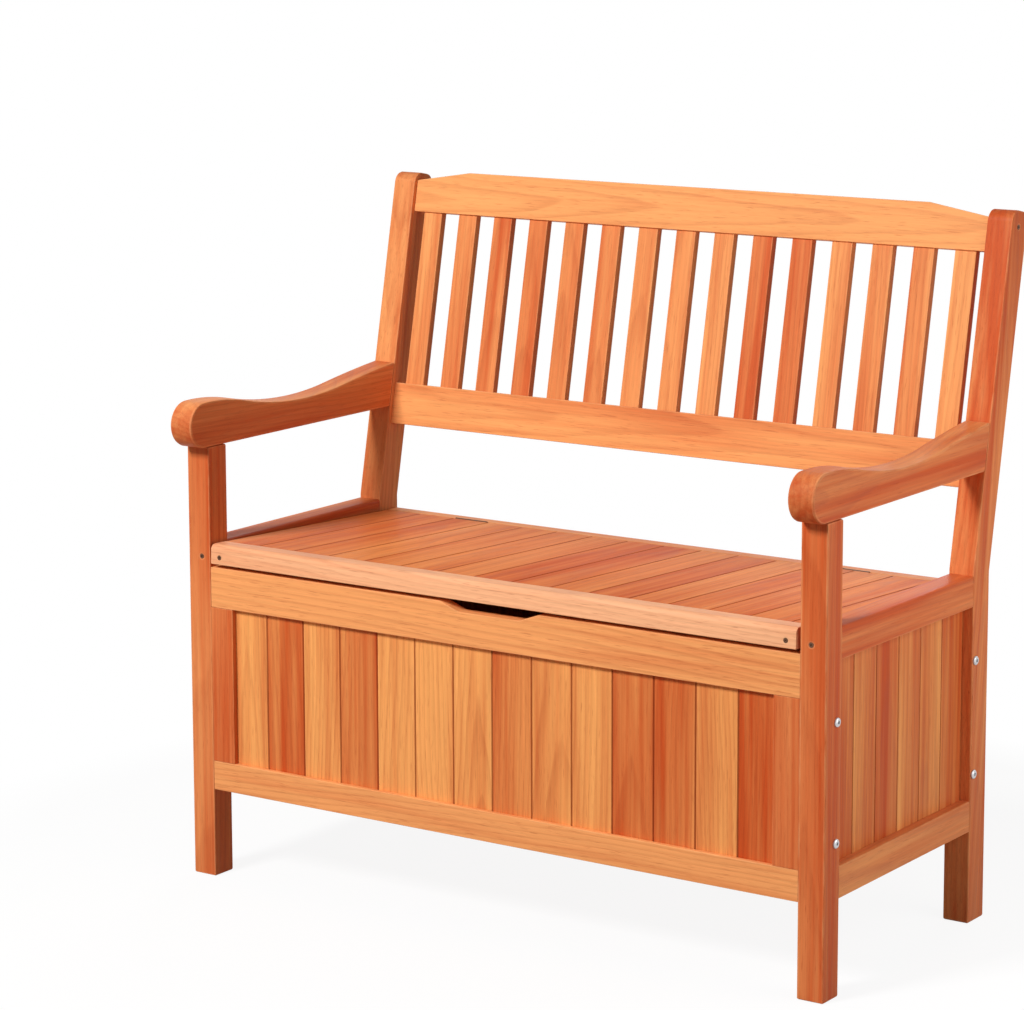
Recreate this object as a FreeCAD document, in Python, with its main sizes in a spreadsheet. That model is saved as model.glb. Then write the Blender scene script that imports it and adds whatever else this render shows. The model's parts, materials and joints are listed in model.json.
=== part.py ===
"""Settle bench: a slatted seat that lifts on two butt hinges and two gas stays over a boarded storage box."""

import FreeCAD, Part
import math
import os

import Sketcher

# Driving dimensions, millimetres and degrees. Depths are measured back from the front face of the front legs.
SIZES = [
    ("Width", 1010),
    ("OriginDepth", 246.31),
    ("LegWidth", 37),
    ("FrontLegDepth", 38),
    ("RearLegFront", 393),
    ("RearLegDepth", 43.5),
    ("BendHeight", 480),
    ("Lean", 11.5),
    ("LeanLength", 481),
    ("LegTopFrontRound", 17),
    ("LegTopRearRound", 12),
    ("ArmUnder", 610),
    ("KnuckleRadius", 31.75),
    ("KnuckleDepth", -5),
    ("CrestEndDepth", 84),
    ("CrestEndHeight", 55),
    ("CrestRadius", 360),
    ("HollowEndDepth", 310),
    ("HollowEndHeight", 48.5),
    ("HollowRadius", 590),
    ("ArmRearHeight", 64.5),
    ("ArmRearRadius", 2175),
    ("PanelThickness", 20),
    ("BoardThickness", 12),
    ("Rebate", 8),
    ("FrontRailTop", 442.5),
    ("FrontRailHeight", 56.5),
    ("LowerRailFoot", 125.5),
    ("LowerRailHeight", 41.5),
    ("StileWidth", 37.5),
    ("CutoutTop", 78),
    ("CutoutBottom", 48),
    ("CutoutDepth", 11),
    ("CutoutRound", 15),
    ("FrontBoardPitch", 62.64),
    ("BoardGap", 0.4),
    ("BoardEdge", 1.2),
    ("TongueWidth", 4),
    ("TongueDepth", 3),
    ("TonguePlay", 0.2),
    ("SideRailTop", 475),
    ("SideRailHeight", 42),
    ("SideRailRound", 4),
    ("SideLowerFoot", 127),
    ("SideLowerHeight", 42),
    ("SideSetback", 15),
    ("RearPanelFront", 411),
    ("RearRailTop", 457.5),
    ("RearRailHeight", 42.5),
    ("BattenWidth", 20),
    ("FrontBattenDepth", 18),
    ("BattenTop", 395),
    ("FloorUnder", 146),
    ("FloorThickness", 10),
    ("FloorBearerHeight", 18),
    ("FloorBoardPitch", 74),
    ("FloorBoardWidth", 68),
    ("BackSetback", 6.5),
    ("BackThickness", 20),
    ("BackLowerFoot", 108.5),
    ("BackLowerTop", 169.2),
    ("BackTopFoot", 422.8),
    ("BackTopTop", 484),
    ("BackTopEnd", 469.2),
    ("BackTopBevel", 377),
    ("SlatWidth", 32),
    ("SlatPitch", 62.3),
    ("SlatTenon", 12),
    ("SeatFrontHeight", 476),
    ("SeatSlope", 2.5),
    ("NosingFront", -3),
    ("NosingRear", 29),
    ("NosingThickness", 28),
    ("NosingRound", 8),
    ("LidHalfWidth", 464),
    ("LidBoardsStart", 463),
    ("LidBoardPitch", 60.2),
    ("LidBoardThickness", 14),
    ("LidEdgeInner", 443),
    ("LidSideOuter", 423),
    ("LidSideInner", 385),
    ("LidBattenThickness", 18),
    ("LidBattenWidth", 36),
    ("LidBattenMargin", 27),
    ("LinerThickness", 1),
    ("LinerGap", 1.5),
    ("CleatWidth", 22),
    ("CleatHeight", 30),
    ("CleatRearGap", 2),
    ("RestGap", 0.3),
    ("HingeCentre", 314),
    ("HingeLength", 55),
    ("HingeHalfGap", 3.3),
    ("HingeSink", 1.5),
    ("KnuckleOuter", 2.5),
    ("HingePinRadius", 1.2),
    ("PinPlay", 0.05),
    ("LeafHeight", 12),
    ("LeafThickness", 1.5),
    ("LeafRelief", 2.8),
    ("KnuckleGap", 0.2),
    ("StayAxis", 433),
    ("StayFrameForward", 300),
    ("StayLidForward", 100),
    ("StayDrop", 42),
    ("StayTubeRadius", 7.5),
    ("StayBore", 6.3),
    ("StayTubeEnd", 150),
    ("StayTubeWall", 4),
    ("StayBoreOverrun", 1),
    ("StayPistonStart", 20),
    ("StayPistonLength", 8),
    ("StayRodRadius", 3),
    ("StayPistonRadius", 6.2),
    ("StayEyeRadius", 6.5),
    ("StayEyeWidth", 8),
    ("StudRadius", 3),
    ("StudCollar", 5),
    ("EndPlay", 0.5),
    ("BracketThickness", 2),
    ("BracketHalf", 12),
    ("BracketDrop", 6),
    ("BracketRise", 18),
    ("BracketMargin", 1),
    ("BoltRadius", 3),
    ("BoltHeadRadius", 6.2),
    ("BoltHeadHeight", 3.3),
    ("BoltLength", 56),
    ("BoltHeadRound", 2.3),
    ("BoltSocket", 4),
    ("BoltSocketDepth", 2.3),
    ("BoltPlay", 0.2),
    ("NutRadius", 5),
    ("NutLength", 14),
    ("ScrewRadius", 2),
    ("ScrewHeadRadius", 3.3),
    ("ScrewHeadHeight", 2.2),
    ("ScrewSocket", 2.5),
    ("ScrewSocketDepth", 1.6),
    ("ScrewLength", 60),
    ("DowelRadius", 4),
    ("DowelLength", 40),
]
FRONT_BOARDS = 14
SIDE_BOARDS = 6
BACK_SLATS = 15
LID_BOARDS = 16
FLOOR_BOARDS = 12
KNUCKLES = 5
SIDES = (("left", -1), ("right", 1))
ACROSS_TURN = FreeCAD.Rotation(FreeCAD.Vector(0, 1, 0), 90)
BACK_TURN = FreeCAD.Rotation(FreeCAD.Vector(1, 0, 0), -90)
NO_TURN = FreeCAD.Rotation()
NEAR = 0.1  # How far off an edge may be and still count as the one meant.

DOC = FreeCAD.newDocument("SettleBench")


class Size:
    """A dimension: its formula in the sheet's names, and the number that the formula gives."""

    def __init__(self, formula, number):
        self.formula = formula
        self.number = number

    def combine(self, sign, other, number):
        return Size(f"({self.formula} {sign} {as_size(other).formula})", number)

    def __add__(self, other):
        return self.combine("+", other, self.number + as_size(other).number)

    def __sub__(self, other):
        return self.combine("-", other, self.number - as_size(other).number)

    def __mul__(self, other):
        return self.combine("*", other, self.number * as_size(other).number)

    def __truediv__(self, other):
        return self.combine("/", other, self.number / as_size(other).number)

    def __rmul__(self, other):
        return as_size(other) * self

    def __neg__(self):
        return Size(f"(0 - {self.formula})", -self.number)


def as_size(value):
    return value if isinstance(value, Size) else Size(repr(float(value)), float(value))


def sine(angle):
    return Size(f"sin({angle.formula})", math.sin(math.radians(angle.number)))


def cosine(angle):
    return Size(f"cos({angle.formula})", math.cos(math.radians(angle.number)))


def tangent(angle):
    return Size(f"tan({angle.formula})", math.tan(math.radians(angle.number)))


def fill_sheet():
    """The sheet holds each name and its number; the sizes returned refer to its cells."""
    sheet = DOC.addObject("Spreadsheet::Sheet", "Sizes")
    sizes = {}
    for row, (alias, number) in enumerate(SIZES, start=1):
        sheet.set(f"A{row}", alias)
        sheet.set(f"B{row}", str(number))
        sheet.setAlias(f"B{row}", alias)
        sizes[alias] = Size(f"Sizes.{alias}", float(number))
    DOC.recompute()
    return sizes


D = fill_sheet()


class Place:
    """A slice plane through the bench: its corner's depth and height, and how far it is tilted back."""

    def __init__(self, depth, height, tilt):
        self.depth = depth
        self.height = height
        self.tilt = tilt

    def point(self, v, w):
        depth = self.depth + v * cosine(self.tilt) + w * sine(self.tilt)
        height = self.height - v * sine(self.tilt) + w * cosine(self.tilt)
        return depth, height

    def hold(self, piece, x, v, w, turn=NO_TURN):
        """Sets a piece down at x, v deep and w high in this plane."""
        lean = FreeCAD.Rotation(FreeCAD.Vector(-1, 0, 0), self.tilt.number)
        piece.Placement = FreeCAD.Placement(FreeCAD.Vector(), lean * turn)
        depth, height = self.point(as_size(v), as_size(w))
        piece.setExpression(".Placement.Base.x", as_size(x).formula)
        piece.setExpression(".Placement.Base.y", depth.formula)
        piece.setExpression(".Placement.Base.z", height.formula)


GROUND = Place(-D["OriginDepth"], as_size(0), as_size(0))
LEANING = Place(D["RearLegFront"] - D["OriginDepth"], D["BendHeight"], D["Lean"])
SEAT = Place(-D["OriginDepth"], D["SeatFrontHeight"], D["SeatSlope"])
HALF = D["Width"] / 2
LEG_INNER = HALF - D["LegWidth"]


def outward(sign, near, far):
    """The stretch from near to far of the middle, on one side of it."""
    near = as_size(near)
    far = as_size(far)
    return (near, far) if sign > 0 else (-far, -near)


def block(name, place, x, v, w):
    piece = DOC.addObject("Part::Box", name)
    for side, (low, high) in zip(("Length", "Width", "Height"), (x, v, w)):
        piece.setExpression(side, (as_size(high) - as_size(low)).formula)
    place.hold(piece, x[0], v[0], w[0])
    return piece


def cylinder(name, place, x, v, w, radius, length, turn=NO_TURN):
    piece = DOC.addObject("Part::Cylinder", name)
    piece.setExpression("Radius", as_size(radius).formula)
    piece.setExpression("Height", as_size(length).formula)
    place.hold(piece, x, v, w, turn)
    return piece


def crossbar(name, place, x, v, w, radius):
    """A cylinder that lies across the bench from x[0] to x[1]."""
    return cylinder(name, place, x[0], v, w, radius, as_size(x[1]) - as_size(x[0]), ACROSS_TURN)


def group(name, members):
    piece = DOC.addObject("Part::Compound", name)
    piece.Links = members
    return piece


def cut(name, blank, tools):
    piece = DOC.addObject("Part::Cut", name)
    piece.Base = blank
    piece.Tool = tools[0] if len(tools) == 1 else group(f"{name}_tools", tools)
    return piece


def fuse(name, members):
    piece = DOC.addObject("Part::MultiFuse", name)
    piece.Shapes = members
    return piece


def rounded(name, blank, radius, test):
    """Rounds the edges whose middle point passes the test."""
    DOC.recompute()
    piece = DOC.addObject("Part::Fillet", name)
    piece.Base = blank
    chosen = [number for number, edge in enumerate(blank.Shape.Edges, start=1) if test(edge)]
    piece.Edges = [(number, radius.number, radius.number) for number in chosen]
    return piece


def arc_between(start, end, radius, bulge):
    """An anticlockwise arc through both points, and whether it runs from start to end."""
    chord = end - start
    middle = (start + end) / 2
    rise = math.sqrt(max(0.0, radius ** 2 - (chord.Length / 2) ** 2))
    aside = FreeCAD.Vector(-chord.y, chord.x, 0).normalize()
    centre = middle + aside * rise * bulge
    forward = bulge > 0
    first, last = (start, end) if forward else (end, start)
    angles = [math.atan2(point.y - centre.y, point.x - centre.x) for point in (first, last)]
    if angles[1] <= angles[0]:
        angles[1] += 2 * math.pi
    circle = Part.Circle(centre, FreeCAD.Vector(0, 0, 1), radius)
    return Part.ArcOfCircle(circle, *angles), forward


def outline(body, role, corners, arcs=None):
    """A closed sketch through the corners. arcs gives a stretch's radius, and 1 for a centre on its left."""
    sketch = body.newObject("Sketcher::SketchObject", f"{body.Name}_outline")
    plane = [feature for feature in body.Origin.OriginFeatures if feature.Role == role][0]
    sketch.AttachmentSupport = [(plane, "")]
    sketch.MapMode = "FlatFace"
    corners = [(as_size(across), as_size(up)) for across, up in corners]
    points = [FreeCAD.Vector(across.number, up.number, 0) for across, up in corners]
    ends = []
    for index, start in enumerate(points):
        end = points[(index + 1) % len(points)]
        if arcs and index in arcs:
            radius, bulge = arcs[index]
            curve, forward = arc_between(start, end, radius.number, bulge)
            sketch.addGeometry(curve)
            ends.append((1, 2) if forward else (2, 1))
            spot = sketch.addConstraint(Sketcher.Constraint("Radius", index, radius.number))
            sketch.setExpression(f"Constraints[{spot}]", radius.formula)
        else:
            sketch.addGeometry(Part.LineSegment(start, end))
            ends.append((1, 2))
    for index, (across, up) in enumerate(corners):
        follower = (index + 1) % len(corners)
        join = Sketcher.Constraint("Coincident", index, ends[index][1], follower, ends[follower][0])
        sketch.addConstraint(join)
        for kind, value, axis in (("DistanceX", across, -2), ("DistanceY", up, -1)):
            if abs(value.number) < 1e-9:
                sketch.addConstraint(Sketcher.Constraint("PointOnObject", index, ends[index][0], axis))
            else:
                rule = Sketcher.Constraint(kind, -1, 1, index, ends[index][0], value.number)
                spot = sketch.addConstraint(rule)
                sketch.setExpression(f"Constraints[{spot}]", value.formula)
    return sketch


def padded(body, sketch, length):
    pad = body.newObject("PartDesign::Pad", f"{body.Name}_pad")
    pad.Profile = sketch
    pad.setExpression("Length", length.formula)
    body.Tip = pad
    return pad


def softened(body, base, radius, test):
    """Rounds the edges of the body's solid whose middle point, in the body's own axes, passes the test."""
    DOC.recompute()
    edges = enumerate(base.Shape.Edges, start=1)
    chosen = [f"Edge{number}" for number, edge in edges if test(middle_of(edge))]
    fillet = body.newObject("PartDesign::Fillet", f"{body.Name}_round{len(body.Group)}")
    fillet.Base = (base, chosen)
    fillet.setExpression("Radius", radius.formula)
    body.Tip = fillet
    return fillet


def middle_of(edge):
    return edge.valueAt((edge.FirstParameter + edge.LastParameter) / 2)


def board_row(name, place, corner, turn, pitch, count, length, thickness, reach=None):
    """Tongued boards with eased outer edges, side by side; the last one's tongue is trimmed off at reach."""
    body = DOC.addObject("PartDesign::Body", f"{name}_row")
    width = pitch - D["BoardGap"]
    reach = reach or pitch * (count - 1) + width
    edge = D["BoardEdge"]
    middle = thickness / 2
    tongue = D["TongueWidth"] / 2
    groove = tongue + D["TonguePlay"]
    depth = D["TongueDepth"] + D["BoardGap"]
    corners = [
        (edge, 0), (width - edge, 0), (width, edge),
        (width, middle - tongue), (width + D["TongueDepth"], middle - tongue),
        (width + D["TongueDepth"], middle + tongue), (width, middle + tongue),
        (width, thickness), (0, thickness),
        (0, middle + groove), (depth, middle + groove),
        (depth, middle - groove), (0, middle - groove), (0, edge),
    ]
    sketch = outline(body, "XY_Plane", corners)
    pad = padded(body, sketch, length)
    row = body.newObject("PartDesign::LinearPattern", f"{name}_pattern")
    row.Originals = [pad]
    row.Direction = (sketch, ["H_Axis"])
    row.setExpression("Length", (pitch * (count - 1)).formula)
    row.Occurrences = count
    body.Tip = row
    place.hold(body, *corner, turn)
    end = DOC.addObject("Part::Box", f"{name}_end")
    margin = pitch
    end.setExpression("Length", margin.formula)
    end.setExpression("Width", (thickness + margin).formula)
    end.setExpression("Height", (length + margin).formula)
    shift = turn.multVec(FreeCAD.Vector(1, 0, 0))
    back = turn.multVec(FreeCAD.Vector(0, 1, 0))
    up = turn.multVec(FreeCAD.Vector(0, 0, 1))
    steps = [shift[axis] * reach - back[axis] * margin / 2 - up[axis] * margin / 2 for axis in range(3)]
    place.hold(end, *[as_size(at) + step for at, step in zip(corner, steps)], turn)
    return cut(name, body, [end])


# What is drilled: each piece's name, and the solids that its wood is cut away for.

HOLES = {}
PIECES = []


def drill(tool, *names):
    for name in names:
        HOLES.setdefault(name, []).append(tool)


def finished(name, blank):
    """Cuts a blank for its fasteners, if it has any, and keeps it as the piece of that name."""
    whole = cut(f"{name}_bored", blank, HOLES[name]) if name in HOLES else blank
    whole.Label = name
    PIECES.append(whole)


def rebated(name, blank, *spaces):
    """Cuts square rebates, each a place's x, v and w stretches, out of a blank."""
    tools = [block(f"{name}_rebate{number}", GROUND, *space) for number, space in enumerate(spaces)]
    return cut(f"{name}_rebated", blank, tools)


# Fasteners.

BOLT_SPOTS = (
    ("front", "high", 27, 356), ("front", "low", 27, 201),
    ("rear", "high", 400, 360), ("rear", "low", 400, 205),
)
LEG_SCREW_X = 483
LEG_SCREW_HEIGHT = 456
BACK_SCREW = (20, 459)
LOWER_DOWEL_HEIGHTS = (138, 156)
BACK_DOWEL_HEIGHTS = (121, 149)
ARM_DOWEL_HEIGHT = 163
NOSING_SCREW_X = 449
NOSING_SCREW_HEIGHT = -18
FORWARD_TURN = FreeCAD.Rotation(FreeCAD.Vector(1, 0, 0), 90)


def at_x(edge, x):
    return abs(edge.BoundBox.XMin - x.number) < NEAR and abs(edge.BoundBox.XMax - x.number) < NEAR


def hexagon(name, width, depth):
    """A hexagonal tool, width across its flats, for the socket in a head."""
    tool = DOC.addObject("Part::Prism", name)
    tool.Polygon = 6
    tool.setExpression("Circumradius", (width / 2 / cosine(as_size(30))).formula)
    tool.setExpression("Height", depth.formula)
    return tool


def bolt(name, sign, depth, height):
    """A button-head bolt with a hexagon socket, its head on the leg's outer face."""
    outer = (HALF + D["BoltHeadHeight"]) * sign
    inside = outward(sign, HALF - D["BoltLength"], HALF)
    outside = outward(sign, HALF, HALF + D["BoltHeadHeight"])
    shank = crossbar(f"{name}_shank", GROUND, inside, depth, height, D["BoltRadius"])
    disc = crossbar(f"{name}_disc", GROUND, outside, depth, height, D["BoltHeadRadius"])
    dome = rounded(f"{name}_dome", disc, D["BoltHeadRound"], lambda edge: at_x(edge, outer))
    whole = fuse(f"{name}_solid", [dome, shank])
    socket = hexagon(f"{name}_socket", D["BoltSocket"], D["BoltSocketDepth"])
    floor = HALF + D["BoltHeadHeight"] - D["BoltSocketDepth"]
    hollow = outward(sign, floor, HALF + D["BoltHeadHeight"])
    GROUND.hold(socket, hollow[0], depth, height, ACROSS_TURN)
    return cut(name, whole, [socket])


def make_bolts():
    """Bolts through the legs into threaded sleeves in the corner battens."""
    bolts = []
    nuts = []
    loose = D["BoltRadius"] + D["BoltPlay"]
    nut_end = LEG_INNER - D["NutLength"]
    for side, sign in SIDES:
        for end, level, depth, height in BOLT_SPOTS:
            name = f"bolt_{end}_{level}_{side}"
            bolts.append(bolt(name, sign, depth, height))
            through = crossbar(f"{name}_hole", GROUND, outward(sign, LEG_INNER, HALF), depth, height, loose)
            drill(through, f"{end}_leg_{side}")
            inner = outward(sign, LEG_INNER - D["BattenWidth"], nut_end)
            deeper = crossbar(f"{name}_tip_hole", GROUND, inner, depth, height, loose)
            span = outward(sign, nut_end, LEG_INNER)
            sleeve = crossbar(f"{name}_sleeve", GROUND, span, depth, height, D["NutRadius"])
            thread = crossbar(f"{name}_thread", GROUND, span, depth, height, D["BoltRadius"] + D["PinPlay"])
            nuts.append(cut(f"{name}_nut", sleeve, [thread]))
            drill(sleeve, f"corner_batten_{end}_{side}")
            drill(deeper, f"corner_batten_{end}_{side}")
    finished("frame_bolts", group("frame_bolts_all", bolts))
    finished("threaded_sleeves", group("threaded_sleeves_all", nuts))


def screw(name, place, x, v, w, turn):
    """A countersunk screw, its head's face at the given point and its tip along the turned Z axis. Returns
    the space that it fills in the wood, and the screw itself with its socket."""
    head = DOC.addObject("Part::Cone", f"{name}_head")
    head.setExpression("Radius1", D["ScrewHeadRadius"].formula)
    head.setExpression("Radius2", D["ScrewRadius"].formula)
    head.setExpression("Height", D["ScrewHeadHeight"].formula)
    place.hold(head, x, v, w, turn)
    shank = cylinder(f"{name}_shank", place, x, v, w, D["ScrewRadius"], D["ScrewLength"], turn)
    space = fuse(f"{name}_space", [head, shank])
    socket = hexagon(f"{name}_socket", D["ScrewSocket"], D["ScrewSocketDepth"])
    place.hold(socket, x, v, w, turn)
    return space, cut(name, space, [socket])


def make_screws():
    screws = []
    leg_back = D["RearLegFront"] + D["RearLegDepth"]
    for side, sign in SIDES:
        x = LEG_SCREW_X * sign
        inward = FreeCAD.Rotation(FreeCAD.Vector(0, 1, 0), -90 * sign)
        spots = {
            "front": ((GROUND, x, 0, LEG_SCREW_HEIGHT, BACK_TURN), f"side_upper_rail_{side}"),
            "rear": ((GROUND, x, leg_back, LEG_SCREW_HEIGHT, FORWARD_TURN), f"side_upper_rail_{side}"),
            "back": ((LEANING, HALF * sign, *BACK_SCREW, inward), "back_top_rail"),
        }
        for end, (spot, held) in spots.items():
            leg = f"front_leg_{side}" if end == "front" else f"rear_leg_{side}"
            space, piece = screw(f"screw_{end}_{side}", *spot)
            drill(space, leg, held)
            screws.append(piece)
    finished("frame_screws", group("frame_screws_all", screws))
    nosing = []
    for side, sign in SIDES:
        x = NOSING_SCREW_X * sign
        space, piece = screw(f"screw_nosing_{side}", SEAT, x, D["NosingFront"], NOSING_SCREW_HEIGHT,
                             BACK_TURN)
        drill(space, "seat_nosing", f"seat_edge_strip_{side}")
        nosing.append(piece)
    finished("nosing_screws", group("nosing_screws_all", nosing))


def make_dowels():
    """Wooden dowels that pin the arms, the lower side rails and the lower back rail to the legs."""
    dowels = []
    half = D["DowelLength"] / 2
    arm_x = HALF - D["LegWidth"] / 2
    rail_x = HALF - (D["SideSetback"] + D["BoardThickness"]) / 2
    back_middle = D["BackSetback"] + D["BackThickness"] / 2

    def dowel(name, place, x, v, w, turn, *pieces):
        piece = cylinder(f"dowel_{name}", place, x, v, w, D["DowelRadius"], D["DowelLength"], turn)
        drill(piece, *pieces)
        dowels.append(piece)

    for side, sign in SIDES:
        front, rear, arm = f"front_leg_{side}", f"rear_leg_{side}", f"armrest_{side}"
        middle = D["FrontLegDepth"] / 2
        dowel(f"arm_front_{side}", GROUND, arm_x * sign, middle, D["ArmUnder"] - half, NO_TURN, front, arm)
        dowel(f"arm_rear_{side}", LEANING, arm_x * sign, -half, ARM_DOWEL_HEIGHT, BACK_TURN, rear, arm)
        for number, height in enumerate(LOWER_DOWEL_HEIGHTS):
            rail = f"side_lower_rail_{side}"
            near = D["FrontLegDepth"] - half
            far = D["RearLegFront"] - half
            dowel(f"low_front_{side}{number}", GROUND, rail_x * sign, near, height, BACK_TURN, front, rail)
            dowel(f"low_rear_{side}{number}", GROUND, rail_x * sign, far, height, BACK_TURN, rear, rail)
        for number, height in enumerate(BACK_DOWEL_HEIGHTS):
            start = outward(sign, LEG_INNER - half, LEG_INNER + half)[0]
            dowel(f"back_{side}{number}", LEANING, start, back_middle, height, ACROSS_TURN, rear,
                  "back_lower_rail")
    finished("dowels", group("dowels_all", dowels))


# The two side frames: legs, arms, rails and boards.

def make_front_legs():
    for side, sign in SIDES:
        name = f"front_leg_{side}"
        blank = block(f"{name}_blank", GROUND, outward(sign, LEG_INNER, HALF), (0, D["FrontLegDepth"]),
                      (0, D["ArmUnder"]))
        finished(name, blank)


def make_rear_legs():
    """Each rear leg stands upright to the seat and leans back above it."""
    lean = D["Lean"]
    depth = D["RearLegDepth"]
    bend = D["BendHeight"]
    rise = D["LeanLength"]
    top_depth = rise * sine(lean)
    top_height = bend + rise * cosine(lean)
    corners = [
        (0, 0), (depth, 0), (depth, bend - depth * tangent(lean / 2)),
        (top_depth + depth * cosine(lean), top_height - depth * sine(lean)),
        (top_depth, top_height), (0, bend),
    ]
    for side, sign in SIDES:
        name = f"rear_leg_{side}"
        body = DOC.addObject("PartDesign::Body", f"{name}_blank")
        pad = padded(body, outline(body, "YZ_Plane", corners), D["LegWidth"])
        rear = softened(body, pad, D["LegTopRearRound"], lambda spot: close_to(spot, corners[3]))
        softened(body, rear, D["LegTopFrontRound"], lambda spot: close_to(spot, corners[4]))
        GROUND.hold(body, outward(sign, LEG_INNER, HALF)[0], D["RearLegFront"], 0)
        finished(name, body)


def close_to(spot, corner):
    """Whether an edge across the leg runs through this corner of the leg's outline."""
    return math.hypot(spot.y - as_size(corner[0]).number, spot.z - as_size(corner[1]).number) < NEAR


def make_armrests():
    """Flat below; above, a round knuckle, a crest, a hollow for the forearm and a gentle rise to the leg."""
    radius = D["KnuckleRadius"]
    front = D["KnuckleDepth"] - radius
    leg_face = D["RearLegFront"] + (D["ArmUnder"] - D["BendHeight"]) * tangent(D["Lean"]) - front
    leg_face_high = leg_face + D["ArmRearHeight"] * tangent(D["Lean"])
    corners = [
        (radius, 0), (leg_face, 0), (leg_face_high, D["ArmRearHeight"]),
        (D["HollowEndDepth"] - front, D["HollowEndHeight"]),
        (D["CrestEndDepth"] - front, D["CrestEndHeight"]),
        (radius, radius * 2), (0, radius),
    ]
    arcs = {
        2: (D["ArmRearRadius"], 1), 3: (D["HollowRadius"], -1), 4: (D["CrestRadius"], 1),
        5: (radius, 1), 6: (radius, 1),
    }
    for side, sign in SIDES:
        name = f"armrest_{side}"
        body = DOC.addObject("PartDesign::Body", f"{name}_blank")
        padded(body, outline(body, "YZ_Plane", corners, arcs), D["LegWidth"])
        GROUND.hold(body, outward(sign, LEG_INNER, HALF)[0], front, D["ArmUnder"])
        finished(name, body)


def make_side_rails():
    span = (D["FrontLegDepth"], D["RearLegFront"])
    board_outer = HALF - D["SideSetback"]
    board_inner = board_outer - D["BoardThickness"]
    foot = D["SideRailTop"] - D["SideRailHeight"]
    lower_top = D["SideLowerFoot"] + D["SideLowerHeight"]
    for side, sign in SIDES:
        name = f"side_upper_rail_{side}"
        blank = block(f"{name}_blank", GROUND, outward(sign, LEG_INNER, HALF), span, (foot, D["SideRailTop"]))
        slot = (outward(sign, board_inner, board_outer), span, (foot, foot + D["Rebate"]))
        grooved = rebated(name, blank, slot)
        top = D["SideRailTop"].number
        soft = rounded(f"{name}_soft", grooved, D["SideRailRound"],
                       lambda edge: edge.BoundBox.ZMin > top - NEAR and edge.BoundBox.YLength > NEAR)
        finished(name, soft)
        name = f"side_lower_rail_{side}"
        blank = block(f"{name}_blank", GROUND, outward(sign, board_inner, HALF), span,
                      (D["SideLowerFoot"], lower_top))
        slot = (outward(sign, board_inner, board_outer), span, (lower_top - D["Rebate"], lower_top))
        finished(name, rebated(name, blank, slot))


def make_side_boards():
    pitch = (D["RearLegFront"] - D["FrontLegDepth"]) / SIDE_BOARDS
    foot = D["SideLowerFoot"] + D["SideLowerHeight"] - D["Rebate"]
    length = D["SideRailTop"] - D["SideRailHeight"] + D["Rebate"] - foot
    board_outer = HALF - D["SideSetback"]
    for side, sign in SIDES:
        start = D["FrontLegDepth"] if sign > 0 else D["RearLegFront"]
        turn = FreeCAD.Rotation(FreeCAD.Vector(0, 0, 1), 90 * sign)
        row = board_row(f"side_boards_{side}", GROUND, (board_outer * sign, start, foot), turn, pitch,
                        SIDE_BOARDS, length, D["BoardThickness"])
        finished(f"side_boards_{side}", row)


# The front and rear panels of the box, the battens in its corners and its floor.

PANEL_HALF = D["FrontBoardPitch"] * FRONT_BOARDS / 2
REBATE_HALF = PANEL_HALF + D["TongueDepth"] + D["BoardGap"]
LOWER_TOP = D["LowerRailFoot"] + D["LowerRailHeight"]


def cutout_corner(spot):
    """Whether an edge through the front rail is one of the four corners of its finger cut-out."""
    top = D["FrontRailHeight"].number
    corners = ((D["CutoutTop"].number, top), (D["CutoutBottom"].number, top - D["CutoutDepth"].number))
    return any(math.hypot(abs(spot.x) - x, spot.z - z) < NEAR for x, z in corners)


def make_front_upper_rail():
    """The rail under the seat's front edge, with a shallow finger cut-out at the middle of its top."""
    height = D["FrontRailHeight"]
    foot = D["FrontRailTop"] - height
    floor = height - D["CutoutDepth"]
    corners = [
        (-LEG_INNER, 0), (LEG_INNER, 0), (LEG_INNER, height), (D["CutoutTop"], height),
        (D["CutoutBottom"], floor), (-D["CutoutBottom"], floor), (-D["CutoutTop"], height),
        (-LEG_INNER, height),
    ]
    body = DOC.addObject("PartDesign::Body", "front_upper_rail_blank")
    pad = padded(body, outline(body, "XZ_Plane", corners), D["PanelThickness"])
    softened(body, pad, D["CutoutRound"], cutout_corner)
    GROUND.hold(body, 0, D["PanelThickness"], foot)
    back = (D["PanelThickness"] - D["BoardThickness"], D["PanelThickness"])
    space = ((-REBATE_HALF, REBATE_HALF), back, (foot, foot + D["Rebate"]))
    finished("front_upper_rail", rebated("front_upper_rail", body, space))


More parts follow.
